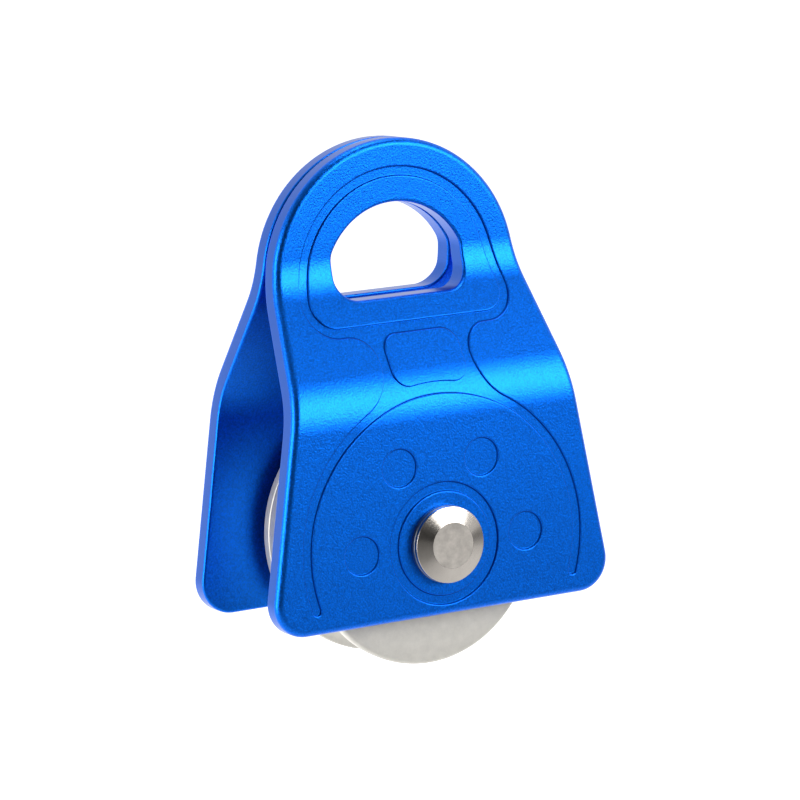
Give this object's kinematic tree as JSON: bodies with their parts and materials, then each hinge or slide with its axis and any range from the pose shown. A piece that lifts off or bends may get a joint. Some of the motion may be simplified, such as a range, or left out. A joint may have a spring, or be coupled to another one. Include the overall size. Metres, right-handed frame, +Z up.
{
  "type": "rope pulley",
  "caption": "Swing-plate rope pulley: two bent eye plates on a riveted axle, with a grooved sheave on sealed ball bearings.",
  "frame": {"origin": "middle of the rope sheave, on the axle line", "axes": "+Y along the axle from the front plate to the rear plate, +Z up from the axle to the carabiner eye, +X to the right seen from the front"},
  "size_m": [0.0942, 0.0534, 0.1305],
  "materials": {
    "anodised_plate": "bead-blasted and anodised blue, satin",
    "machined_aluminium": "fine-turned, bare",
    "stainless_axle": "turned stainless steel",
    "stainless_washer": "ground stainless steel",
    "bronze_bush": "sintered bronze, matte",
    "spring_steel": "phosphated spring steel",
    "bearing_steel": "ground and polished bearing steel",
    "bearing_shield": "pressed steel",
    "cage_polyamide": "moulded polyamide"
  },
  "bodies": {
    "rear_plate": {"rear_cheek": "anodised_plate", "rear_cheek_bush": "bronze_bush"},
    "front_plate": {"front_cheek": "anodised_plate", "front_cheek_bush": "bronze_bush"},
    "axle": {"axle_pin": "stainless_axle", "axle_rear_head": "stainless_axle", "front_head_washer": "stainless_washer", "rear_head_washer": "stainless_washer", "front_thrust_spacer": "stainless_washer", "rear_thrust_spacer": "stainless_washer", "inner_ring_shim": "stainless_washer", "front_bearing_inner_ring": "bearing_steel", "rear_bearing_inner_ring": "bearing_steel"},
    "sheave": {"sheave": "machined_aluminium", "front_circlip": "spring_steel", "rear_circlip": "spring_steel", "outer_ring_shim": "stainless_washer", "front_bearing_outer_ring": "bearing_steel", "rear_bearing_outer_ring": "bearing_steel", "front_bearing_outboard_shield": "bearing_shield", "front_bearing_inboard_shield": "bearing_shield", "rear_bearing_outboard_shield": "bearing_shield", "rear_bearing_inboard_shield": "bearing_shield"},
    "front_ball_set": {"front_bearing_cage": "cage_polyamide", "front_bearing_balls": "bearing_steel"},
    "rear_ball_set": {"rear_bearing_cage": "cage_polyamide", "rear_bearing_balls": "bearing_steel"}
  },
  "joints": [
    {"name": "front_plate_swing", "type": "hinge", "parent": "rear_plate", "child": "front_plate", "pos_m": [0, 0, 0], "axis": [0, 1, 0], "continuous": true},
    {"name": "axle_turn", "type": "hinge", "parent": "rear_plate", "child": "axle", "pos_m": [0, 0, 0], "axis": [0, 1, 0], "continuous": true},
    {"name": "sheave_spin", "type": "hinge", "parent": "axle", "child": "sheave", "pos_m": [0, 0, 0], "axis": [0, 1, 0], "continuous": true},
    {"name": "front_ball_set_orbit", "type": "hinge", "parent": "axle", "child": "front_ball_set", "pos_m": [0, 0, 0], "axis": [0, 1, 0], "continuous": true},
    {"name": "rear_ball_set_orbit", "type": "hinge", "parent": "axle", "child": "rear_ball_set", "pos_m": [0, 0, 0], "axis": [0, 1, 0], "continuous": true}
  ],
  "couplings": [
    {"joint": "front_ball_set_orbit", "follows": "sheave_spin", "ratio": 0.6364},
    {"joint": "rear_ball_set_orbit", "follows": "sheave_spin", "ratio": 0.6364}
  ]
}
